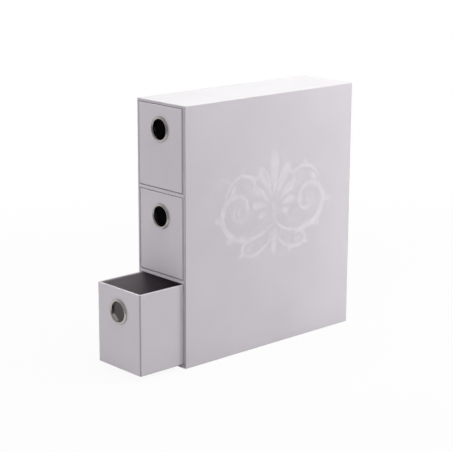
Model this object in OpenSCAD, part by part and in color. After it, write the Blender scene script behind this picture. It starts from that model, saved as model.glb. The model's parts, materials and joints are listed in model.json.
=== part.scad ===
// Card box with three drawers: a rigid board case covered in paper, and three
// open-topped drawers that slide in it, each pulled by a metal finger ring.
// The origin is the middle of the case's underside. The fronts face -Y and +Z is up.

/* [Space for cards] */
// Width inside a drawer: a sleeved card and room for a finger
card_space_w = 72.4; // [62:0.2:110]
// Height inside a drawer, from its lined floor to its rim
card_space_h = 94.7; // [70:0.1:130]
// Length inside a drawer
card_space_l = 266.2; // [120:0.2:400]

/* [Boards] */
// Greyboard of the drawers
drawer_board = 2; // [1.5:0.1:3]
// Greyboard of the case's top, sides and back
case_board = 3; // [2:0.1:4]
// Greyboard of the case's base and shelves, which carry the drawers
shelf_board = 4; // [2.5:0.1:6]

/* [Papers] */
// Covering paper with its glue
wrap_t = 0.2; // [0.15:0.01:0.3]
// Lining paper with its glue
lining_t = 0.2; // [0.15:0.01:0.3]
// How far the covering paper turns in behind the case's front edges
front_turn_in = 12; // [6:0.5:25]
// How wide the case's wrap folds over the back and under the base
flap_w = 15; // [8:0.5:20]
// How far the back sheet and the base sheet stay inside the case's edges
sheet_inset = 3; // [1.8:0.1:6]
// How far a drawer's wrap shows inside, below the rim
rim_turn_in = 1.5; // [0.8:0.1:6]

/* [Edges] */
// Radius of the case's outer edges
case_edge_r = 0.8; // [0.6:0.1:1.7]
// Radius of the shelves' front edges
shelf_edge_r = 0.7; // [0.5:0.1:1.2]
// Radius of a drawer's upright edges
drawer_edge_r = 1.5; // [0.6:0.1:1.7]
// Radius of a drawer's bottom edges
drawer_base_r = 1.2; // [0.6:0.1:1.6]
// Radius of the outer edge of a drawer's rim
rim_r = 0.6; // [0.4:0.1:1]

/* [Clearances] */
// Gap on each side of a drawer
side_gap = 0.5; // [0.3:0.05:1.5]
// Gap under a drawer
under_gap = 0.45; // [0.1:0.05:0.6]
// Gap above a drawer
head_gap = 0.55; // [0.4:0.05:3]
// Gap behind a drawer whose front is flush with the case
back_gap = 0.9; // [0.4:0.1:4]

/* [Finger rings] */
// Diameter of the opening for the finger
ring_hole_d = 23.8; // [18:0.2:28]
// Thickness of the ring's sheet steel
ring_sheet = 0.5; // [0.4:0.05:0.6]
// Outer radius of the rolled bead in front
bead_r = 1.6; // [1.3:0.1:2.2]
// How far the bead's centre stands in front of the drawer
bead_lift = 0.6; // [0.3:0.1:0.7]
// Outer radius of the lip that is curled over the washer
lip_r = 1.1; // [1:0.05:1.4]
// Width of the washer's ring
washer_w = 2.6; // [2.2:0.1:4]
// Thickness of the washer
washer_t = 0.5; // [0.3:0.05:0.8]
// Gap round the barrel in the drawer's front and in the washer
barrel_gap = 0.15; // [0.05:0.05:0.4]
// Distance from a drawer's rim down to the middle of its ring
ring_drop = 27.6; // [22:0.1:45]

/* [How far each drawer stands out] */
// Top drawer
top_out = 1; // [0:0.1:110]
// Middle drawer
middle_out = 0.3; // [0:0.1:110]
// Bottom drawer
bottom_out = 64.8; // [0:0.1:110]

/* [Hidden] */
$fn = 48;
wrap_colour = "#c9c3ca";
lining_colour = "#3d3a3f";
board_colour = "#99938a";
ring_colour = "#c6c6c2";
// How far a cutting shape runs past the face that it cuts
past = 1;

// Turned-in covering paper and lining meet edge to edge on a board's inner face.
inner_skin = max(wrap_t, lining_t);

// A drawer: its walls, and its size over the paper
drawer_wall = wrap_t + drawer_board + inner_skin;
drawer_w = card_space_w + 2 * drawer_wall;
drawer_l = card_space_l + 2 * drawer_wall;
drawer_h = card_space_h + drawer_wall;
// Places of its boards' inner faces
drawer_in_x = card_space_w / 2 + inner_skin;
drawer_in_front = wrap_t + drawer_board;
drawer_in_back = drawer_l - wrap_t - drawer_board;
drawer_board_top = wrap_t + drawer_board;

// A bay, the space that a drawer slides in
bay_w = drawer_w + 2 * side_gap;
bay_h = drawer_h + under_gap + head_gap;
bay_l = drawer_l + back_gap;

// The case: its walls, and its size over the paper
case_wall = wrap_t + case_board + inner_skin;
base_t = 2 * wrap_t + shelf_board + inner_skin;
shelf_t = shelf_board + 2 * inner_skin;
case_w = bay_w + 2 * case_wall;
case_h = base_t + 3 * bay_h + 2 * shelf_t + case_wall;
// The wrapped case ends here; the back sheet lies outside it.
wrapped_l = bay_l + lining_t + case_board + wrap_t;
case_l = wrapped_l + wrap_t;
front_y = -case_l / 2;
wrapped_back_y = front_y + wrapped_l;
// Places of its boards' inner faces
case_in_x = case_w / 2 - wrap_t - case_board;
case_in_back = wrapped_back_y - wrap_t - case_board;
base_board_low = 2 * wrap_t;
base_board_top = base_board_low + shelf_board;
top_board_low = case_h - wrap_t - case_board;
// Where the turned-in paper ends and the linings begin
lined_from_y = front_y + front_turn_in;
bay_back_y = front_y + bay_l;
// Edges of the flaps on the back and under the base
flap_x = case_w / 2 - flap_w;

// Floor of each bay, the lowest first, and underside of each shelf board
bay_z = [for (i = [0:2]) base_t + i * (bay_h + shelf_t)];
shelf_board_z = [for (i = [0:1]) bay_z[i] + bay_h + inner_skin];

// Finger ring
bore_r = ring_hole_d / 2;
barrel_r = bore_r + ring_sheet;
ring_seat_r = barrel_r + barrel_gap;
ring_z = drawer_h - ring_drop;

CASE_NODES = [
    "case_top_board", "case_base_board", "case_left_board", "case_right_board",
    "case_back_board", "upper_shelf_board", "lower_shelf_board", "case_wrap", "back_sheet",
    "base_sheet", "upper_shelf_edge_strip", "lower_shelf_edge_strip", "upper_shelf_lining",
    "lower_shelf_lining", "left_side_lining", "right_side_lining", "back_lining",
    "ceiling_lining", "floor_lining"
];
DRAWER_PARTS = [
    "front_board", "back_board", "left_board", "right_board", "floor_board", "wrap",
    "lining", "finger_ring", "ring_washer"
];
// Each drawer's name, the bay that it slides in, and how far it stands out
DRAWERS = [["bottom", 0, bottom_out], ["middle", 1, middle_out], ["top", 2, top_out]];

// ---- Shared shapes ----

// A box given by its lowest and its highest corner
module span(low, high) {
    translate(low) cube(high - low);
}

// A rectangle with rounded corners, of one radius along the bottom and one along the top
module rounded_rect(low, high, low_r, high_r) {
    difference() {
        translate(low) square(high - low);
        for (right = [0, 1], top = [0, 1]) {
            r = top == 0 ? low_r : high_r;
            translate([right == 0 ? low.x : high.x, top == 0 ? low.y : high.y])
                mirror([right, 0]) mirror([0, top]) difference() {
                    translate([-past, -past]) square(r + past);
                    translate([r, r]) circle(r);
                }
        }
    }
}

// A box with rounded edges: side_r on upright edges, low_r along the bottom, high_r on top
module rounded_box(low, high, side_r, low_r, high_r) {
    intersection() {
        translate([0, 0, low.z]) linear_extrude(high.z - low.z)
            rounded_rect([low.x, low.y], [high.x, high.y], side_r, side_r);
        translate([low.x, 0, 0]) rotate([90, 0, 90]) linear_extrude(high.x - low.x)
            rounded_rect([low.y, low.z], [high.y, high.z], low_r, high_r);
        translate([0, high.y, 0]) rotate([90, 0, 0]) linear_extrude(high.y - low.y)
            rounded_rect([low.x, low.z], [high.x, high.z], low_r, high_r);
    }
}

// ---- Case ----

// The wrapped case without its back and base sheets, taken in by some depth
module case_form(depth) {
    r = case_edge_r - depth;
    rounded_box(
        [-case_w / 2 + depth, front_y + depth, wrap_t + depth],
        [case_w / 2 - depth, wrapped_back_y - depth, case_h - depth], r, r, r
    );
}

// One thickness of paper all round the boards
module case_skin() {
    difference() {
        case_form(0);
        case_form(wrap_t);
    }
}

module case_top_board() {
    color(board_colour) intersection() {
        case_form(wrap_t);
        span([-case_w, front_y, top_board_low], [case_w, wrapped_back_y, case_h]);
    }
}

module case_base_board() {
    color(board_colour) intersection() {
        case_form(wrap_t);
        span([-case_w, front_y, 0], [case_w, wrapped_back_y, base_board_top]);
    }
}

// Stands between the base board and the top board; side is 1 on the right and -1 on the left
module case_side_board(side) {
    color(board_colour) intersection() {
        case_form(wrap_t);
        mirror([side < 0 ? 1 : 0, 0, 0])
            span([case_in_x, front_y, base_board_top], [case_w, wrapped_back_y, top_board_low]);
    }
}

module case_back_board() {
    color(board_colour) span(
        [-case_in_x, case_in_back, base_board_top],
        [case_in_x, wrapped_back_y - wrap_t, top_board_low]
    );
}

// One sheet over both sides and the top. It folds round the front edges and in behind
// them, and its flaps lie on the back and under the base.
module case_wrap() {
    mouth_x = case_in_x - wrap_t;
    mouth_top = top_board_low - wrap_t;
    color(wrap_colour) {
        difference() {
            case_skin();
            // the open front, and the base's front edge, which the base sheet covers
            span(
                [-mouth_x, front_y - past, 0],
                [mouth_x, front_y + case_edge_r, mouth_top]
            );
            // the underside between the flaps
            span([-flap_x, front_y, 0], [flap_x, wrapped_back_y + past, base_board_top]);
            // the back between the flaps
            span(
                [-flap_x, case_in_back, 0],
                [flap_x, wrapped_back_y + past, case_h - flap_w]
            );
        }
        for (side = [0, 1]) mirror([side, 0, 0])
            span([mouth_x, front_y, base_board_top], [case_in_x, lined_from_y, top_board_low]);
        span([-mouth_x, front_y, mouth_top], [mouth_x, lined_from_y, top_board_low]);
    }
}

// Lies on the flaps of the back, and on the board between them
module back_sheet() {
    x = case_w / 2 - sheet_inset;
    color(wrap_colour) {
        span(
            [-x, wrapped_back_y, sheet_inset],
            [x, wrapped_back_y + wrap_t, case_h - sheet_inset]
        );
        span([-flap_x, wrapped_back_y - wrap_t, flap_w], [flap_x, wrapped_back_y, case_h - flap_w]);
    }
}

// Covers the underside. Its front end goes up over the base's front edge and in behind
// it, and its back end turns up on the back between the flaps.
module base_sheet() {
    x = case_in_x - wrap_t;
    color(wrap_colour) {
        difference() {
            translate([-x, 0, 0]) rotate([90, 0, 90]) linear_extrude(2 * x) difference() {
                translate([front_y, 0])
                    square([wrapped_l - sheet_inset, base_board_top + wrap_t]);
                translate([front_y - past, -past]) difference() {
                    square(case_edge_r + past);
                    translate([case_edge_r + past, case_edge_r + past]) circle(case_edge_r);
                }
                translate([lined_from_y, base_board_top]) square([case_l, case_h]);
            }
            case_base_board();
            for (side = [0, 1]) mirror([side, 0, 0]) span(
                [flap_x, front_y + case_edge_r, wrap_t],
                [case_w, wrapped_back_y, base_board_low]
            );
        }
        intersection() {
            case_skin();
            span(
                [-flap_x, wrapped_back_y - sheet_inset - past, 0],
                [flap_x, wrapped_back_y, flap_w]
            );
        }
    }
}

// A shelf's outline seen from the side, grown by some depth; level is 0 or 1 from below
module shelf_side(level, depth, from_y, to_y) {
    low_z = shelf_board_z[level] - depth;
    r = shelf_edge_r - wrap_t + depth;
    intersection() {
        rounded_rect(
            [front_y + wrap_t - depth, low_z],
            [case_l, low_z + shelf_board + 2 * depth], r, r
        );
        translate([from_y, low_z - past]) square([to_y - from_y, shelf_board * 2]);
    }
}

// Extrudes a side view over the width of a bay
module across_bay() {
    translate([-bay_w / 2, 0, 0]) rotate([90, 0, 90]) linear_extrude(bay_w) children();
}

module shelf_board(level) {
    color(board_colour) across_bay()
        shelf_side(level, 0, front_y, bay_back_y - lining_t);
}

// Pale paper folded round the front edge of a shelf
module shelf_edge_strip(level) {
    color(wrap_colour) across_bay() difference() {
        shelf_side(level, wrap_t, front_y, lined_from_y);
        shelf_side(level, 0, front_y, case_l);
    }
}

// Lining that covers both faces of a shelf and folds round its back edge
module shelf_lining(level) {
    color(lining_colour) across_bay() difference() {
        shelf_side(level, lining_t, lined_from_y, bay_back_y);
        shelf_side(level, 0, front_y, bay_back_y - lining_t);
    }
}

module side_lining(side) {
    color(lining_colour) mirror([side < 0 ? 1 : 0, 0, 0]) span(
        [case_in_x - lining_t, lined_from_y, base_board_top],
        [case_in_x, case_in_back, top_board_low]
    );
}

module back_lining() {
    x = case_in_x - lining_t;
    color(lining_colour)
        span([-x, bay_back_y, base_board_top], [x, case_in_back, top_board_low]);
}

module floor_lining() {
    x = case_in_x - lining_t;
    color(lining_colour)
        span([-x, lined_from_y, base_board_top], [x, bay_back_y, base_board_top + lining_t]);
}

module ceiling_lining() {
    x = case_in_x - lining_t;
    color(lining_colour)
        span([-x, lined_from_y, top_board_low - lining_t], [x, bay_back_y, top_board_low]);
}

// ---- Drawer: x is 0 in its middle, y on its front's outer face, z on its underside ----

// The drawer without its hollow, taken in by some depth
module drawer_form(depth) {
    rounded_box(
        [-drawer_w / 2 + depth, depth, depth],
        [drawer_w / 2 - depth, drawer_l - depth, drawer_h - depth],
        drawer_edge_r - depth, drawer_base_r - depth, rim_r - depth
    );
}

// The hollow between the boards, taken in by some depth
module drawer_hollow(depth) {
    span(
        [-drawer_in_x + depth, drawer_in_front + depth, drawer_board_top + depth],
        [drawer_in_x - depth, drawer_in_back - depth, drawer_h + past]
    );
}

// The round opening in everything that the finger ring passes through
module ring_seat() {
    translate([0, -past, ring_z]) rotate([-90, 0, 0])
        cylinder(r = ring_seat_r, h = drawer_wall + 2 * past);
}

module drawer_floor_board() {
    color(board_colour) intersection() {
        drawer_form(wrap_t);
        span([-drawer_w, 0, 0], [drawer_w, drawer_l, drawer_board_top]);
    }
}

module drawer_front_board() {
    color(board_colour) difference() {
        intersection() {
            drawer_form(wrap_t);
            span([-drawer_w, 0, drawer_board_top], [drawer_w, drawer_in_front, drawer_h]);
        }
        ring_seat();
    }
}

module drawer_back_board() {
    color(board_colour) intersection() {
        drawer_form(wrap_t);
        span([-drawer_w, drawer_in_back, drawer_board_top], [drawer_w, drawer_l, drawer_h]);
    }
}

// Stands between the front board and the back board
module drawer_side_board(side) {
    color(board_colour) intersection() {
        drawer_form(wrap_t);
        mirror([side < 0 ? 1 : 0, 0, 0]) span(
            [drawer_in_x, drawer_in_front, drawer_board_top],
            [drawer_w, drawer_in_back, drawer_h]
        );
    }
}

// One sheet over the underside and the four walls, folded over the rim
module drawer_wrap() {
    fold_top = drawer_h - wrap_t;
    color(wrap_colour) difference() {
        union() {
            difference() {
                drawer_form(0);
                drawer_form(wrap_t);
            }
            difference() {
                drawer_hollow(0);
                span([-drawer_w, 0, fold_top], [drawer_w, drawer_l, drawer_h * 2]);
                span([-drawer_w, 0, 0], [drawer_w, drawer_l, drawer_h - rim_turn_in]);
            }
        }
        drawer_hollow(wrap_t);
        ring_seat();
    }
}

module drawer_lining() {
    color(lining_colour) difference() {
        drawer_hollow(0);
        drawer_hollow(lining_t);
        span(
            [-drawer_w, 0, drawer_h - rim_turn_in],
            [drawer_w, drawer_l, drawer_h + 2 * past]
        );
        ring_seat();
    }
}

// Turns a profile of radius and depth about the ring's axis, depth going into the drawer
module about_ring_axis() {
    translate([0, 0, ring_z]) rotate([-90, 0, 0]) rotate_extrude() children();
}

// Pressed from one sheet: a bead rolled outwards in front, whose edge bears on the wrap,
// the barrel through the board, and a lip curled outwards onto the washer
module finger_ring() {
    bead_mid_r = bore_r + bead_r;
    lip_mid_r = bore_r + lip_r;
    lip_depth = drawer_wall + washer_t;
    color(ring_colour) about_ring_axis() {
        difference() {
            translate([bead_mid_r, -bead_lift]) difference() {
                circle(bead_r);
                circle(bead_r - ring_sheet);
            }
            translate([bore_r - past, -bead_lift]) square([bead_r + past, 2 * bead_r]);
            translate([bore_r, 0]) square(3 * bead_r);
        }
        translate([bore_r, -bead_lift]) square([ring_sheet, bead_lift + lip_depth]);
        translate([lip_mid_r, lip_depth]) difference() {
            circle(lip_r);
            circle(lip_r - ring_sheet);
            translate([-2 * lip_r, -2 * lip_r]) square([4 * lip_r, 2 * lip_r]);
        }
    }
}

module ring_washer() {
    color(ring_colour) about_ring_axis()
        translate([ring_seat_r, drawer_wall]) square([washer_w, washer_t]);
}

// Puts a drawer's part into its bay
module in_bay(drawer) {
    translate([0, front_y - drawer[2], bay_z[drawer[1]] + under_gap]) children();
}

// ---- The pieces ----

case_top_board();
case_base_board();
case_side_board(-1);  // case_left_board
case_side_board(1);  // case_right_board
case_back_board();
shelf_board(1);  // upper_shelf_board
shelf_board(0);  // lower_shelf_board
case_wrap();
back_sheet();
base_sheet();
shelf_edge_strip(1);  // upper_shelf_edge_strip
shelf_edge_strip(0);  // lower_shelf_edge_strip
shelf_lining(1);  // upper_shelf_lining
shelf_lining(0);  // lower_shelf_lining
side_lining(-1);  // left_side_lining
side_lining(1);  // right_side_lining
back_lining();
ceiling_lining();
floor_lining();

for (d = DRAWERS) in_bay(d) {
    drawer_front_board();
    drawer_back_board();
    drawer_side_board(-1);
    drawer_side_board(1);
    drawer_floor_board();
    drawer_wrap();
    drawer_lining();
    finger_ring();
    ring_washer();
}
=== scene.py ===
"""A card box with three drawers, dressed for a studio picture.

The boards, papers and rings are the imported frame's own. This file gives each of them its
finish, lays a softer covering paper over the case, prints the gloss ornament on its right
side, and sets up the floor, the lamps and the camera. Everything is in metres.
"""
import json

import bmesh
import bpy
import numpy as np
from mathutils import Matrix, Vector


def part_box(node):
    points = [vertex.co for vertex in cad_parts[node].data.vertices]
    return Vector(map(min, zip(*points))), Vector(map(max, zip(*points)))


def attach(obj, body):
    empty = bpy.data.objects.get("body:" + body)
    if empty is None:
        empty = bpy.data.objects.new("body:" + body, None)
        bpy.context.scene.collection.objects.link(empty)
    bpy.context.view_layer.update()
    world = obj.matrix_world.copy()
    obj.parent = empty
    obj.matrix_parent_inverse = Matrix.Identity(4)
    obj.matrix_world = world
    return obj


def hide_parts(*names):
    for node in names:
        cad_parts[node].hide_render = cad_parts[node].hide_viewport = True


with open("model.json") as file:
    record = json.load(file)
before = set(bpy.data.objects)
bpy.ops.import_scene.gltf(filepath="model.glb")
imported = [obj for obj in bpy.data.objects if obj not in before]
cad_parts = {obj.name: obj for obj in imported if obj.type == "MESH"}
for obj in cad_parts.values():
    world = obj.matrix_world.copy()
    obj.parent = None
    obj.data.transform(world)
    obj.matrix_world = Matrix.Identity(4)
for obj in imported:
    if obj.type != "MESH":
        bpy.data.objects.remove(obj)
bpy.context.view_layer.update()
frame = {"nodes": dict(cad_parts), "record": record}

MM = 0.001
SAME_POINT = 0.001 * MM  # points closer than this are merged

# ---- Sizes of the case's covering paper ----

VARNISH = 0.04 * MM  # room for the raised ornament inside the case's own size
PAPER = 0.16 * MM  # thickness of the covering paper as it is drawn here
EDGE_R = 0.8 * MM  # outer edges of the case
EDGE_POINTS = 9  # points round each of those edges
EDGE_BAND = 0.5 * MM  # a narrow band of faces that keeps their shading off the flat
MOUTH_R = 0.35 * MM  # inner edge of the open front, where the paper folds in
FLAP = 15 * MM  # how far the paper folds over the back and under the base
FLAP_POINTS = 8  # points across the flap under the base

# ---- Painted shade and cut edges of the papers ----

SHADE_GAIN = 10.0  # how soon the painted shade of a rounded edge is full as the face turns
FRONT_SHADE = (0.1 * MM, 0.5 * MM)  # behind the case's front edge, where its painted shade fades out
FOOT_SHADE = (4 * MM, 9 * MM)  # above the table, where the painted shade at the foot fades out
SHADE_PATCH = 7 * MM  # size of the patches of painted shade on the front edge
CUT_EDGE = (0.3 * MM, 1.0 * MM)  # from a cut edge, where its darker tone and painted shade fade out
CUT_TONE = 0.9  # how much of that tone the very edge has

# ---- The ornament, in a plane seen from the right: across is +Y, up is +Z ----

ORNAMENT_MID = (4 * MM, 182 * MM)
FILM = 0.03 * MM  # thickness of the raised gloss film
VEIN = 0.35  # half width of a leaf's bare vein at its foot, in the ornament's mm

# ---- Colours, as sRGB hex ----

PAPER_LIGHT = "#d5ccd7"
PAPER_DARK = "#cfc6d1"
# the paper in painted shade, and at the back sheet's cut edges
PAPER_SHADE_AND_CUT = "#b0a7b2"
LINING_LIGHT = "#aaa2aa"  # mid grey, which the shade in a drawer turns to charcoal
LINING_DARK = "#9f969f"
PRINT_LIGHT = "#e0d8e1"
PRINT_DARK = "#d8d0da"
BOARD_LIGHT = "#a39b90"
BOARD_DARK = "#857d72"
NICKEL = "#cbc6c2"
FLOOR = "#c8c7c8"
WHITE = "#ffffff"
SKYLIGHT = "#f5fff2"  # the overhead lamps, a touch greener than the others

# ---- Lamps: name, place, aim, width, height, power in watts, tint ----

LAMPS = [
    ("key_right", (0.55, 0.75, 0.35), (0.04, 0.0, 0.12), 0.4, 0.6, 5.4, WHITE),
    ("front_right", (0.55, -1.25, 0.80), (0.0, -0.14, 0.12), 0.5, 0.5, 2.3, WHITE),
    ("front_left", (-0.75, -1.25, 0.40), (0.0, -0.14, 0.15), 0.8, 0.8, 6.7, WHITE),
    ("overhead_right", (0.50, -0.35, 1.30), (0.0, 0.0, 0.3), 0.9, 0.9, 7.0, SKYLIGHT),
    ("overhead_wide", (0.05, 0.25, 1.35), (0.0, 0.0, 0.3), 1.1, 1.1, 15.9, SKYLIGHT),
    ("left", (-1.25, 0.35, 0.50), (-0.04, 0.0, 0.16), 0.8, 0.9, 3.5, WHITE),
]

# ---- Backdrop, room and floor ----

WORLD_LEVEL = 0.05  # the even light that the air itself gives
ROOM_SIDE = (0.45, -0.893, 0.0)  # the way to the dim room on the camera's side
BACKDROP_LEVEL = 0.75  # these three only as metal and gloss show them
ROOM_LEVEL = 0.22
CEILING_LEVEL = 0.35
AIR_TO_ROOM = (0.15, 0.6)  # where backdrop passes into room, as the cosine to ROOM_SIDE
AIR_TO_CEILING = (0.35, 0.8)  # where both pass into the ceiling, as the sine of the height
FLOOR_TO_ROOM = (0.3, 0.8)  # metres towards the room, where the mirrored floor grows dim
FLOOR_HALF = 12.0  # half the floor's side
FLOOR_WHITE = 0.93  # how much of the floor's tone near the object is the backdrop's white
SHADOW_FADES = (0.3, 0.9)  # from the object, where the floor's own shading fades out

# ---- Camera: its place, its turns in degrees, its lens and sensor in mm ----

CAMERA_AT = (1.24438, -1.17736, 0.57530)
CAMERA_AZIMUTH = 47.465
CAMERA_ELEVATION = 14.197
CAMERA_ROLL = 0.230
LENS = 114.335
SENSOR = 36.0
SIGHT = 50.0  # how far the camera sees


def linear(code):
    """An sRGB hex code as linear RGBA, each channel by the sRGB curve."""
    srgb = np.array([int(code[i:i + 2], 16) for i in (1, 3, 5)]) / 255
    low = srgb / 12.92
    high = ((srgb + 0.055) / 1.055) ** 2.4
    return (*np.where(srgb <= 0.04045, low, high), 1.0)


# ---- Finishes ----

def add(tree, kind, sockets=None, **settings):
    """Adds a node, sets its properties, and gives each socket a value or a link. A socket
    goes by its number, or by its name among those in use. A node given as a value stands for
    its first output in use."""
    node = tree.nodes.new("ShaderNode" + kind)
    for key, value in settings.items():
        setattr(node, key, value)
    for key, value in (sockets or {}).items():
        named = [socket for socket in node.inputs if socket.enabled and socket.name == key]
        socket = named[0] if named else node.inputs[key]
        if isinstance(value, bpy.types.Node):
            value = next(output for output in value.outputs if output.enabled)
        if isinstance(value, bpy.types.NodeSocket):
            tree.links.new(value, socket)
        else:
            socket.default_value = value
    return node


def new_finish(name):
    """An empty material, its node tree, and where a point lies: at["Object"] is its place
    in the object's own metres, at["Normal"] the way its face looks."""
    material = bpy.data.materials.new(name)
    material.use_nodes = True
    tree = material.node_tree
    tree.nodes.clear()
    return material, tree, add(tree, "TexCoord").outputs


def grain(tree, at, size, detail=2.0, stretch=None):
    """Noise in blotches about size metres across, which are half a wave each; stretch scales
    the axes first."""
    place = at["Object"]
    if stretch:
        place = add(tree, "Mapping", {"Vector": place, "Scale": stretch})
    return add(tree, "TexNoise", {"Vector": place, "Scale": 0.5 / size, "Detail": detail})


def two_tones(tree, amount, first, second):
    """A colour that runs from the first hex code to the second while amount goes from 0.3 to
    0.7, between which nearly all noise lies."""
    tones = add(tree, "ValToRGB", {"Fac": amount})
    for stop, position, code in zip(tones.color_ramp.elements, (0.3, 0.7), (first, second)):
        stop.position, stop.color = position, linear(code)
    return tones


def edge_shade(tree, at):
    """Painted shade on rounded upright corners and lower edges, 0 on flat faces: SHADE_GAIN
    times x^2 y^2 + d^2 (1 - d^2), at most 1, for the face's own normal (x, y, z), d = min(z,
    0)."""
    way = add(tree, "SeparateXYZ", {"Vector": at["Normal"]}).outputs
    upright = add(tree, "Math", {0: way["X"], 1: way["Y"]}, operation="MULTIPLY")
    upright = add(tree, "Math", {0: upright, 1: 2.0}, operation="POWER")
    down = add(tree, "Math", {0: way["Z"], 1: 0.0}, operation="MINIMUM")
    down = add(tree, "Math", {0: down, 1: down}, operation="MULTIPLY")
    rest = add(tree, "Math", {0: 1.0, 1: down}, operation="SUBTRACT")
    lower = add(tree, "Math", {0: down, 1: rest}, operation="MULTIPLY")
    both = add(tree, "Math", {0: upright, 1: lower}, operation="ADD")
    return add(tree, "Math", {0: both, 1: SHADE_GAIN}, operation="MULTIPLY", use_clamp=True)


def front_and_edge_shade(tree, at):
    """Painted shade: that of the rounded edges, and the case's front edge darker in patches and
    all over in its lowest few millimetres, for the shade beside and under the drawers."""
    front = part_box("case_wrap")[0].y
    place = add(tree, "SeparateXYZ", {"Vector": at["Object"]}).outputs
    near = add(tree, "MapRange", {
        "Value": place["Y"], "From Min": front + FRONT_SHADE[0], "From Max": front + FRONT_SHADE[1],
        "To Min": 1.0, "To Max": 0.0,
    })
    foot = add(tree, "MapRange", {
        "Value": place["Z"], "From Min": FOOT_SHADE[0], "From Max": FOOT_SHADE[1],
        "To Min": 1.0, "To Max": 0.0,
    })
    # painted shade: noise patches along the front edge, and all of its foot
    patch = grain(tree, at, SHADE_PATCH)
    patch = add(tree, "MapRange", {"Value": patch, "To Min": 0.35, "To Max": 0.75})
    shaded = add(tree, "Math", {0: patch, 1: foot}, operation="MAXIMUM")
    shaded = add(tree, "Math", {0: near, 1: shaded}, operation="MULTIPLY")
    return add(tree, "Math", {0: edge_shade(tree, at), 1: shaded}, operation="MAXIMUM")


def shelf_edge_shade(tree, at):
    """Painted shade on a shelf strip's rounded upper edge, under the drawer that sits on it:
    SHADE_GAIN times u (1 - u), at most 1, for the face's own normal (x, y, z) and u = max(z,
    0)^2."""
    way = add(tree, "SeparateXYZ", {"Vector": at["Normal"]}).outputs
    up = add(tree, "Math", {0: way["Z"], 1: 0.0}, operation="MAXIMUM")
    up = add(tree, "Math", {0: up, 1: up}, operation="MULTIPLY")
    rest = add(tree, "Math", {0: 1.0, 1: up}, operation="SUBTRACT")
    edge = add(tree, "Math", {0: up, 1: rest}, operation="MULTIPLY")
    return add(tree, "Math", {0: edge, 1: SHADE_GAIN}, operation="MULTIPLY", use_clamp=True)


def cut_edge_and_shade(tree, at):
    """The back sheet's four cut edges, where the paper's core and a little glue show, with
    painted shade of the sheet's raised edge: most at the edge and fading out, by the distance
    to the nearest edge."""
    low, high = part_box("back_sheet")
    place = add(tree, "SeparateXYZ", {"Vector": at["Object"]}).outputs
    aside = add(tree, "Math", {0: place["X"]}, operation="ABSOLUTE")
    inside = add(tree, "Math", {0: high.x, 1: aside}, operation="SUBTRACT")
    for ends in ({0: place["Z"], 1: low.z}, {0: high.z, 1: place["Z"]}):
        gap = add(tree, "Math", ends, operation="SUBTRACT")
        inside = add(tree, "Math", {0: inside, 1: gap}, operation="MINIMUM")
    return add(tree, "MapRange", {
        "Value": inside, "From Min": CUT_EDGE[0], "From Max": CUT_EDGE[1],
        "To Min": CUT_TONE, "To Max": 0.0,
    })


def laminated_paper(name, shade_and_cut_edge):
    """Matt-laminated art paper: a thin film over smooth printed paper gives an even tint
    and a soft sheen, and the greyboard below shows as a very faint unevenness. Where the given
    mask is high it is darker: painted shade on its edges, and the back sheet's own cut edge
    tone."""
    material, tree, at = new_finish(name)
    cloud = grain(tree, at, 45 * MM)
    # the film's own texture is about 0.1 mm, drawn at 0.8 mm so that it shows
    tooth = grain(tree, at, 0.8 * MM, 3.0)
    board = grain(tree, at, 5 * MM)
    bump = add(tree, "Bump", {"Height": tooth, "Strength": 0.06, "Distance": 0.05 * MM})
    swell = add(tree, "Bump", {
        "Height": board, "Strength": 0.10, "Distance": 0.25 * MM, "Normal": bump,
    })
    tint = two_tones(tree, cloud, PAPER_DARK, PAPER_LIGHT)
    # the darker paper where the mask is high: painted shade, and on the back sheet the cut
    # edge's own tone too
    tint = add(tree, "Mix", {
        "Factor": shade_and_cut_edge(tree, at), "A": tint, "B": linear(PAPER_SHADE_AND_CUT),
    }, data_type="RGBA")
    surface = add(tree, "BsdfPrincipled", {
        "Base Color": tint,
        "Roughness": add(tree, "MapRange", {"Value": tooth, "To Min": 0.44, "To Max": 0.54}),
        "IOR": 1.49,
        "Normal": swell,
    })
    add(tree, "OutputMaterial", {"Surface": surface})
    return material


def lining_paper():
    """Uncoated paper dyed through: dull, with short paler and darker fibres. It is mid grey
    in full light and charcoal down in a drawer."""
    material, tree, at = new_finish("dyed_charcoal_paper")
    # fibres are about 2 mm long and 0.1 mm wide, drawn 0.5 mm wide so that they show
    fibre = grain(tree, at, 0.5 * MM, 3.0, (1.0, 0.25, 1.0))
    cloud = grain(tree, at, 18 * MM)
    amount = add(tree, "Math", {0: fibre, 1: cloud}, operation="ADD")
    amount = add(tree, "MapRange", {"Value": amount, "To Min": -0.5, "To Max": 0.5})
    bump = add(tree, "Bump", {"Height": fibre, "Strength": 0.25, "Distance": 0.06 * MM})
    surface = add(tree, "BsdfPrincipled", {
        "Base Color": two_tones(tree, amount, LINING_DARK, LINING_LIGHT),
        "Roughness": add(tree, "MapRange", {"Value": fibre, "To Min": 0.72, "To Max": 0.88}),
        "IOR": 1.45,
        "Normal": bump,
    })
    add(tree, "OutputMaterial", {"Surface": surface})
    return material


def greyboard():
    """Board pressed from waste paper: warm grey with darker flecks, quite dull."""
    material, tree, at = new_finish("pressed_greyboard")
    fleck = grain(tree, at, 1.2 * MM, 4.0, (1.0, 0.6, 1.0))
    bump = add(tree, "Bump", {"Height": fleck, "Strength": 0.3, "Distance": 0.08 * MM})
    surface = add(tree, "BsdfPrincipled", {
        "Base Color": two_tones(tree, fleck, BOARD_DARK, BOARD_LIGHT),
        "Roughness": add(tree, "MapRange", {"Value": fleck, "To Min": 0.8, "To Max": 0.95}),
        "Normal": bump,
    })
    add(tree, "OutputMaterial", {"Surface": surface})
    return material


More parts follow.
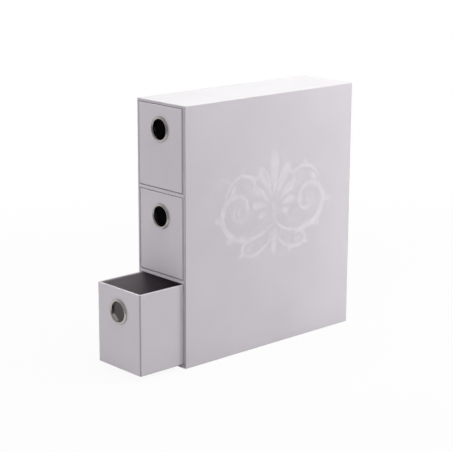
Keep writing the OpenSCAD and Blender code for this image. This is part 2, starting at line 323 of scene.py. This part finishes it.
def nickel_plate():
    """Pressed steel with bright nickel plating: near mirror, with the faint streaks that
    polishing leaves and a slightly uneven skin from the press."""
    material, tree, at = new_finish("nickel_plated_steel")
    streak = grain(tree, at, 0.35 * MM, 2.0, (1.0, 0.3, 1.0))
    dent = grain(tree, at, 4 * MM)
    bump = add(tree, "Bump", {"Height": dent, "Strength": 0.15, "Distance": 0.05 * MM})
    surface = add(tree, "BsdfPrincipled", {
        "Base Color": linear(NICKEL),
        "Metallic": 1.0,
        "Roughness": add(tree, "MapRange", {"Value": streak, "To Min": 0.20, "To Max": 0.32}),
        "Normal": bump,
    })
    add(tree, "OutputMaterial", {"Surface": surface})
    return material


def gloss_varnish():
    """Pearly ink under raised gloss varnish: paler than the paper, smooth and shiny."""
    material, tree, at = new_finish("gloss_varnish_print")
    pearl = grain(tree, at, 9 * MM)
    level = grain(tree, at, 1.5 * MM)
    bump = add(tree, "Bump", {"Height": level, "Strength": 0.08, "Distance": 0.04 * MM})
    surface = add(tree, "BsdfPrincipled", {
        "Base Color": two_tones(tree, pearl, PRINT_DARK, PRINT_LIGHT),
        "Roughness": add(tree, "MapRange", {"Value": level, "To Min": 0.16, "To Max": 0.24}),
        "IOR": 1.52,
        "Coat Weight": 0.6,
        "Coat Roughness": 0.08,
        "Normal": bump,
    })
    add(tree, "OutputMaterial", {"Surface": surface})
    return material


FINISHES = {
    "wrap_paper": laminated_paper("matt_laminated_paper", edge_shade),
    "lining_paper": lining_paper(),
    "greyboard": greyboard(),
    "nickel_steel": nickel_plate(),
}
CASE_PAPER = laminated_paper("matt_laminated_paper_on_case", front_and_edge_shade)
SHELF_PAPER = laminated_paper("matt_laminated_paper_on_shelves", shelf_edge_shade)
OWN_FINISH = {
    "upper_shelf_edge_strip": SHELF_PAPER,
    "lower_shelf_edge_strip": SHELF_PAPER,
    "back_sheet": laminated_paper("matt_laminated_paper_back_sheet", cut_edge_and_shade),
}
VARNISHED = gloss_varnish()

for part in frame["record"]["subparts"]:
    mesh = frame["nodes"][part["node"]].data
    mesh.materials.clear()
    mesh.materials.append(OWN_FINISH.get(part["node"], FINISHES[part["material_slot"]]))


# ---- Meshes ----

def add_piece(name, points, faces, material, body, smooth=True):
    """A mesh from points and faces that rides on a body, with doubles merged."""
    mesh = bpy.data.meshes.new(name)
    mesh.from_pydata(points.reshape(-1, 3).tolist(), [], faces.tolist())
    work = bmesh.new()
    work.from_mesh(mesh)
    bmesh.ops.remove_doubles(work, verts=work.verts, dist=SAME_POINT)
    work.to_mesh(mesh)
    work.free()
    mesh.materials.append(material)
    piece = bpy.data.objects.new(name, mesh)
    bpy.context.scene.collection.objects.link(piece)
    mesh.polygons.foreach_set("use_smooth", np.full(len(mesh.polygons), smooth))
    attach(piece, body)
    return piece


def grid_faces(rows, columns, closed=False):
    """Quads of a grid of points: corner (i, j) joins (i, j+1), (i+1, j+1) and (i+1, j)."""
    i, j = np.meshgrid(np.arange(rows - 1), np.arange(columns - (not closed)), indexing="ij")
    k = (j + 1) % columns
    quads = [i * columns + j, i * columns + k, (i + 1) * columns + k, (i + 1) * columns + j]
    return np.stack(quads, -1).reshape(-1, 4)


def swing(centre, radius, degrees):
    """Points round a centre: centre + radius (cos a, sin a) for each angle a."""
    a = np.radians(degrees)
    return np.stack([centre[0] + radius * np.cos(a), centre[1] + radius * np.sin(a)], -1)


def arc(centre, radius, start, end, steps):
    """Points of a circle's arc, at even angles from start to end in degrees."""
    return swing(centre, radius, np.linspace(start, end, steps))


def run(*stops, steps):
    """Points along straight lines from stop to stop, evenly spaced on each line."""
    t = np.linspace(0, 1, steps)[:, None]
    lines = [np.array(a) + t * (np.array(b) - np.array(a)) for a, b in zip(stops, stops[1:])]
    return np.concatenate(lines)


def case_cover():
    """The covering paper of the case, one sheet.

    Across: a line round the case's section, from the flap under the base up the left side,
    over the top and down the right side to the other flap, with rounded corners.
    Along: from the edge turned in at the open front, round the front edge, back along the
    outside and over onto the back. A point at depth d below the outer face lies at
    p - d n for d up to the corner's radius, and beyond that on p clipped to the section
    taken in by d, so that the corners mitre.
    """
    low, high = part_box("case_wrap")
    half = high.x - VARNISH
    floor_z, top_z = low.z + VARNISH, high.z - VARNISH
    front, back = low.y + VARNISH, high.y - VARNISH
    # the lining's near lower corner is where the inside begins and the turned-in paper ends
    inside_x, turned_in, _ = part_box("right_side_lining")[0]
    wall = high.x - inside_x - VARNISH
    flap_x = high.x - FLAP
    mouth_x = half - wall
    r = EDGE_R
    # the left half of the section, then its mirror image
    left = np.concatenate([
        run((-flap_x, floor_z), (-mouth_x, floor_z), steps=FLAP_POINTS),
        run((-mouth_x, floor_z), (-half + r, floor_z), steps=3)[1:],
        arc((-half + r, floor_z + r), r, 270, 180, EDGE_POINTS)[1:],
        run((-half, floor_z + r), (-half, top_z - r), steps=40)[1:],
        arc((-half + r, top_z - r), r, 180, 90, EDGE_POINTS)[1:],
        run((-half + r, top_z), (0, top_z), steps=9)[1:],
    ])
    section = np.concatenate([left, left[-2::-1] * (-1, 1)])
    # depth below the outer face and distance along Y
    along = np.concatenate([
        run((wall, turned_in), (wall, front + MOUTH_R), steps=4),
        arc((wall - MOUTH_R, front + MOUTH_R), MOUTH_R, 0, -90, 5)[1:],
        run((wall - MOUTH_R, front), (r, front), steps=3)[1:],
        arc((r, front + r), r, 270, 180, EDGE_POINTS)[1:],
        run((0, front + r), (0, front + r + EDGE_BAND), (0, back - r), steps=30)[1:],
        arc((r, back - r), r, 180, 90, EDGE_POINTS)[1:],
        run((r, back), (FLAP, back), steps=5)[1:],
    ])
    depth, y = along[:, 0], along[:, 1]
    centre = np.clip(section, (-half + r, floor_z + r), (half - r, top_z - r))
    taken_in = np.minimum(depth, r)[None, :, None] / r
    near = section[:, None] + taken_in * (centre - section)[:, None]
    over = np.where(depth > r, depth, 0)
    lowest = np.stack([-half + over, floor_z + over], -1)
    highest = np.stack([half - over, top_z - over], -1)
    flat = np.clip(near, lowest[None], highest[None])
    points = np.empty((*flat.shape[:2], 3))
    points[..., 0], points[..., 2] = flat[..., 0], flat[..., 1]
    points[..., 1] = y[None]
    faces = grid_faces(*flat.shape[:2])
    # the flaps under the base aren't turned in at the front: the base sheet ends there
    row, column = faces[:, 0] // len(y), faces[:, 0] % len(y)
    first_outside = int(np.flatnonzero(depth == 0)[0])
    flap = (row < FLAP_POINTS - 1) | (row >= len(section) - FLAP_POINTS)
    faces = faces[~(flap & (column < first_outside))][:, ::-1]
    piece = add_piece("case_cover", points, faces, CASE_PAPER, "case")
    wrap = piece.modifiers.new("paper", "SOLIDIFY")
    wrap.thickness = PAPER
    wrap.offset = -1
    piece.modifiers.new("even_shading", "WEIGHTED_NORMAL")
    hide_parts("case_wrap")


case_cover()


# ---- Ornament ----

def bezier(a, b, c, d, steps):
    """A cubic Bezier line: (1-t)^3 a + 3 t (1-t)^2 b + 3 t^2 (1-t) c + t^3 d."""
    t = np.linspace(0, 1, steps)[:, None]
    a, b, c, d = (np.array(p, float) for p in (a, b, c, d))
    return (1 - t) ** 3 * a + 3 * t * (1 - t) ** 2 * b + 3 * t * t * (1 - t) * c + t ** 3 * d


def spiral(centre, start_r, end_r, start, end, steps):
    """A logarithmic spiral: the radius goes from start_r to end_r by equal ratios while the
    angle goes from start to end in degrees."""
    t = np.linspace(0, 1, steps)
    return swing(centre, start_r * (end_r / start_r) ** t, start + (end - start) * t)


def headings(line):
    """The unit direction of a line at each of its points, and the one to its left."""
    ahead = np.gradient(line, axis=0)
    ahead /= np.linalg.norm(ahead, axis=1)[:, None]
    return ahead, np.stack([-ahead[:, 1], ahead[:, 0]], -1)


def film(line, low, high, lift):
    """A closed strip of raised film along a line, in the ornament's plane, in mm.

    Low and high are the offsets of its two edges across the line. Its section has four
    corners: edge, crown, crown, edge, the crowns a tenth of the width inside the edges and
    lift film thicknesses up. Strips that cross have different lifts, so no two faces lie in
    one plane.
    """
    left = headings(line)[1]
    share = np.array([0, 0.1, 0.9, 1])
    offset = low[:, None] + (high - low)[:, None] * share
    spot = line[:, None] + left[:, None] * offset[..., None]
    up = np.broadcast_to([0, lift, lift, 0], spot.shape[:2])
    return np.concatenate([spot, up[..., None]], -1)


def vine(line, first, last, swell, lift=1.0):
    """A line of film whose half width runs from first to last and is swell more a third of
    the way along, by swell sin(pi t^0.6)^4. Its ends are rounded off over a thirtieth of its
    length, by the square root of the distance."""
    t = np.linspace(0, 1, len(line))
    half = first + (last - first) * t + swell * np.sin(np.pi * t ** 0.6) ** 4
    half *= np.sqrt(np.clip(np.minimum(t, 1 - t) * 30, 0, 1))
    return [film(line, -half, half, lift)]


def leaf(foot, tip, width, bend, fullness, lift=0.7):
    """Two halves of a leaf on both sides of a bare vein.

    The midrib is a Bezier line with its handles at 0.35 and 0.8 of its length, both aside by
    bend times its length. Each half is as wide as width sin(pi t^fullness)^0.8, zero at both
    ends and widest at 0.5^(1/fullness).
    """
    foot, tip = np.array(foot, float), np.array(tip, float)
    ahead = tip - foot
    aside = np.array([-ahead[1], ahead[0]]) * bend
    line = bezier(foot, foot + ahead * 0.35 + aside, foot + ahead * 0.8 + aside, tip, 50)
    t = np.linspace(0, 1, len(line))
    half = width * np.clip(np.sin(np.pi * t ** fullness), 0, 1) ** 0.8
    vein = np.minimum(half, VEIN * (1 - t))
    return [film(line, vein, half, lift), film(line, -half, -vein, lift)]


def berry(x, y, radius):
    """A disc of film: a strip whose half width at u across is sqrt(radius^2 - u^2)."""
    u = radius * np.cos(np.pi * (1 - np.linspace(0, 1, 17)))
    half = np.sqrt(np.clip(radius ** 2 - u ** 2, 0, None))
    return [film(np.stack([x + u, np.full_like(u, y)], -1), -half, half, lift=0.8)]


def sprigs(line, places, length, width):
    """Small leaves along a vine, each at a share of its length, to its left (+) or right.
    They lean forward, 0.75 along the vine to 0.66 aside, and start 2 mm off its middle."""
    strips = []
    ahead, left = headings(line)
    for share, side in places:
        i = int(share * (len(line) - 1))
        way = ahead[i] * 0.75 + left[i] * side * 0.66
        foot, tip = line[i] + way * 2, line[i] + way * length
        strips += leaf(foot, tip, width, bend=-0.15 * side, fullness=1.0, lift=0.5)
    return strips


def ornament_half():
    """The right half of the ornament: a palmette's petals, and scrolls that leave its foot."""
    # four vines, each a long bend that winds up in a spiral
    main = np.concatenate([
        bezier((3, -27), (26, -54), (84, -46), (85, -8), 60),
        spiral((58, -8), 27, 5, 0, 520, 110)[1:],
    ])
    lower = np.concatenate([
        bezier((2.5, -35), (8, -66), (49, -70), (52.4, -56), 40),
        spiral((42, -53), 10.8, 3, -17, 400, 60)[1:],
    ])
    upper = np.concatenate([
        bezier((79.5, 8), (76, 34), (52, 41.2), (36, 31.2), 40),
        spiral((41, 22), 10.5, 3, 118, 500, 60)[1:],
    ])
    curl = np.concatenate([
        bezier((70, 28), (80, 38), (97, 42), (97, 28), 30),
        spiral((90, 28), 7, 2.5, 0, -330, 50)[1:],
    ])
    strips = vine(main, 1.3, 0.8, 2.4) + vine(lower, 1.1, 0.7, 1.2, 0.9)
    strips += vine(upper, 0.9, 0.7, 1.4, 0.9) + vine(curl, 0.8, 0.5, 0.0, 0.8)
    # each petal's turn from upright in degrees, its length and its half width
    heart = np.array([0, -9])
    for turn, length, width in ((27, 58, 6.6), (54, 44, 5.6), (82, 37, 4.8), (112, 26, 3.6)):
        way = np.array([np.sin(np.radians(turn)), np.cos(np.radians(turn))])
        foot, tip = heart + way * 9, heart + way * length
        strips += leaf(foot, tip, width, bend=0.10, fullness=1.6)
    # sprigs by their places and sides on a vine, their length and half width
    strips += sprigs(main, ((0.22, -1), (0.32, -1), (0.42, -1)), 17, 3.2)
    strips += sprigs(main, ((0.16, 1), (0.52, 1), (0.63, 1)), 12, 2.4)
    strips += sprigs(upper, ((0.24, -1), (0.40, -1)), 12, 2.4)
    strips += sprigs(lower, ((0.18, -1), (0.34, -1)), 11, 2.2)
    # berries in the eyes of the spirals, and between the petals' tips
    strips += berry(58, -8, 2.8) + berry(42, -53, 1.7) + berry(41, 22, 1.7)
    strips += berry(90, 28, 1.3) + berry(25, 56, 1.8) + berry(33, 50, 1.3)
    return strips


def ornament_axis():
    """What stands on the ornament's middle line: a petal above, a hanging leaf and berries."""
    strips = leaf((0, 1), (0, 60), 7.4, bend=0, fullness=1.6)
    strips += leaf((0, -37), (0, -70), 4.0, bend=0, fullness=1.0)
    for y, radius in ((-8, 3.2), (-17, 2.3), (-24, 1.7), (66, 2.2), (72, 1.4)):
        strips += berry(0, y, radius)
    return strips


def side_ornament():
    """The ornament's two halves and its middle, laid on the case's right side."""
    side_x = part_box("case_wrap")[1].x - VARNISH
    laid = [(strip, 1) for strip in ornament_half() + ornament_axis()]
    laid += [(strip, -1) for strip in ornament_half()]
    points, faces, count = [], [], 0
    for strip, side in laid:
        rows, columns = strip.shape[:2]
        y = ORNAMENT_MID[0] + side * strip[..., 0] * MM
        z = ORNAMENT_MID[1] + strip[..., 1] * MM
        x = side_x + strip[..., 2] * FILM
        quads = grid_faces(rows, columns, closed=True)
        points.append(np.stack([x, y, z], -1).reshape(-1, 3))
        faces.append((quads if side < 0 else quads[:, ::-1]) + count)
        count += rows * columns
    add_piece(
        "side_ornament", np.concatenate(points), np.concatenate(faces), VARNISHED,
        "case", smooth=False
    )


side_ornament()


# ---- Studio ----

def camera():
    """The photograph's camera: its back axis is (sin a cos e, -cos a cos e, sin e) for the
    azimuth a and the elevation e, then turned about that axis by the roll."""
    a, e, roll = np.radians([CAMERA_AZIMUTH, CAMERA_ELEVATION, CAMERA_ROLL])
    back = np.array([np.sin(a) * np.cos(e), -np.cos(a) * np.cos(e), np.sin(e)])
    right = np.array([np.cos(a), np.sin(a), 0])
    up = np.cross(back, right)
    turned_right = np.cos(roll) * right + np.sin(roll) * up
    turned_up = -np.sin(roll) * right + np.cos(roll) * up
    data = bpy.data.cameras.new("camera")
    data.lens, data.sensor_width, data.clip_end = LENS, SENSOR, SIGHT
    item = bpy.data.objects.new("camera", data)
    matrix = np.eye(4)
    matrix[:3, 0], matrix[:3, 1], matrix[:3, 2] = turned_right, turned_up, back
    matrix[:3, 3] = CAMERA_AT
    item.matrix_world = Matrix(matrix.tolist())
    bpy.context.scene.collection.objects.link(item)
    bpy.context.scene.camera = item


def softbox(name, place, aim, width, height, power, tint):
    """A rectangular lamp turned to face its aim. Neither the camera nor metal and gloss
    show it."""
    data = bpy.data.lights.new(name, "AREA")
    data.shape, data.size, data.size_y, data.energy = "RECTANGLE", width, height, power
    data.color = linear(tint)[:3]
    lamp = bpy.data.objects.new(name, data)
    lamp.location = place
    lamp.rotation_euler = (Vector(place) - Vector(aim)).to_track_quat("Z", "Y").to_euler()
    lamp.visible_camera = lamp.visible_glossy = False
    bpy.context.scene.collection.objects.link(lamp)


def seen_by(tree, *kinds):
    """1 for rays of these kinds, such as Camera or Glossy, and 0 for all others."""
    path = add(tree, "LightPath").outputs
    seen = path[f"Is {kinds[0]} Ray"]
    for kind in kinds[1:]:
        seen = add(tree, "Math", {0: seen, 1: path[f"Is {kind} Ray"]}, operation="MAXIMUM")
    return seen


def studio_floor():
    """Plain pale card.

    The camera sees it mostly as white as the backdrop, with a little of its own shading so
    that the object's shadow stays; this fades out away from the object. Metal and gloss see
    it at the backdrop's level as far as the room begins. To all other light it is the card.
    """
    material, tree, at = new_finish("pale_studio_card")
    card = add(tree, "BsdfDiffuse", {"Color": linear(FLOOR)})
    away = add(tree, "VectorMath", {0: at["Object"]}, operation="LENGTH")
    whiteness = add(tree, "MapRange", {
        "Value": away, "From Min": SHADOW_FADES[0], "From Max": SHADOW_FADES[1],
        "To Min": FLOOR_WHITE, "To Max": 1.0,
    })
    white = add(tree, "Emission", {"Color": linear(WHITE), "Strength": 1.0})
    whitened = add(tree, "MixShader", {"Fac": whiteness, 1: card, 2: white})
    toward = add(tree, "VectorMath", {0: at["Object"], 1: ROOM_SIDE}, operation="DOT_PRODUCT")
    level = add(tree, "MapRange", {
        "Value": toward, "From Min": FLOOR_TO_ROOM[0], "From Max": FLOOR_TO_ROOM[1],
        "To Min": BACKDROP_LEVEL, "To Max": ROOM_LEVEL,
    }, interpolation_type="SMOOTHSTEP")
    glow = add(tree, "Emission", {"Color": linear(WHITE), "Strength": level})
    mirrored = seen_by(tree, "Glossy", "Transmission")
    seen = add(tree, "MixShader", {"Fac": mirrored, 1: card, 2: glow})
    surface = add(tree, "MixShader", {"Fac": seen_by(tree, "Camera"), 1: seen, 2: whitened})
    add(tree, "OutputMaterial", {"Surface": surface})
    corners = np.array([(-1, -1, 0), (1, -1, 0), (1, 1, 0), (-1, 1, 0)]) * FLOOR_HALF
    mesh = bpy.data.meshes.new("floor")
    mesh.from_pydata(corners.tolist(), [], [(0, 1, 2, 3)])
    mesh.materials.append(material)
    floor = bpy.data.objects.new("floor", mesh)
    bpy.context.scene.collection.objects.link(floor)


def studio_air():
    """The white backdrop and the soft even light that it gives.

    Metal and gloss see the backdrop at BACKDROP_LEVEL, the room on the camera's side at
    ROOM_LEVEL and the ceiling at CEILING_LEVEL, each passing softly into the next.
    """
    world = bpy.data.worlds.new("studio")
    world.use_nodes = True
    tree = world.node_tree
    tree.nodes.clear()
    way = add(tree, "TexCoord").outputs["Generated"]
    toward = add(tree, "VectorMath", {0: way, 1: ROOM_SIDE}, operation="DOT_PRODUCT")
    level = add(tree, "MapRange", {
        "Value": toward, "From Min": AIR_TO_ROOM[0], "From Max": AIR_TO_ROOM[1],
        "To Min": BACKDROP_LEVEL, "To Max": ROOM_LEVEL,
    }, interpolation_type="SMOOTHSTEP")
    height = add(tree, "SeparateXYZ", {"Vector": way}).outputs["Z"]
    high = add(tree, "MapRange", {
        "Value": height, "From Min": AIR_TO_CEILING[0], "From Max": AIR_TO_CEILING[1],
    }, interpolation_type="SMOOTHSTEP")
    level = add(tree, "Mix", {"Factor": high, "A": level, "B": CEILING_LEVEL})
    mirrored = seen_by(tree, "Glossy", "Transmission")
    level = add(tree, "Mix", {"Factor": mirrored, "A": WORLD_LEVEL, "B": level})
    level = add(tree, "Mix", {"Factor": seen_by(tree, "Camera"), "A": level, "B": 1.0})
    air = add(tree, "Background", {"Color": linear(WHITE), "Strength": level})
    add(tree, "OutputWorld", {"Surface": air})
    bpy.context.scene.world = world


camera()
studio_floor()
studio_air()
for lamp in LAMPS:
    softbox(*lamp)
bpy.context.scene.view_settings.view_transform = "Standard"
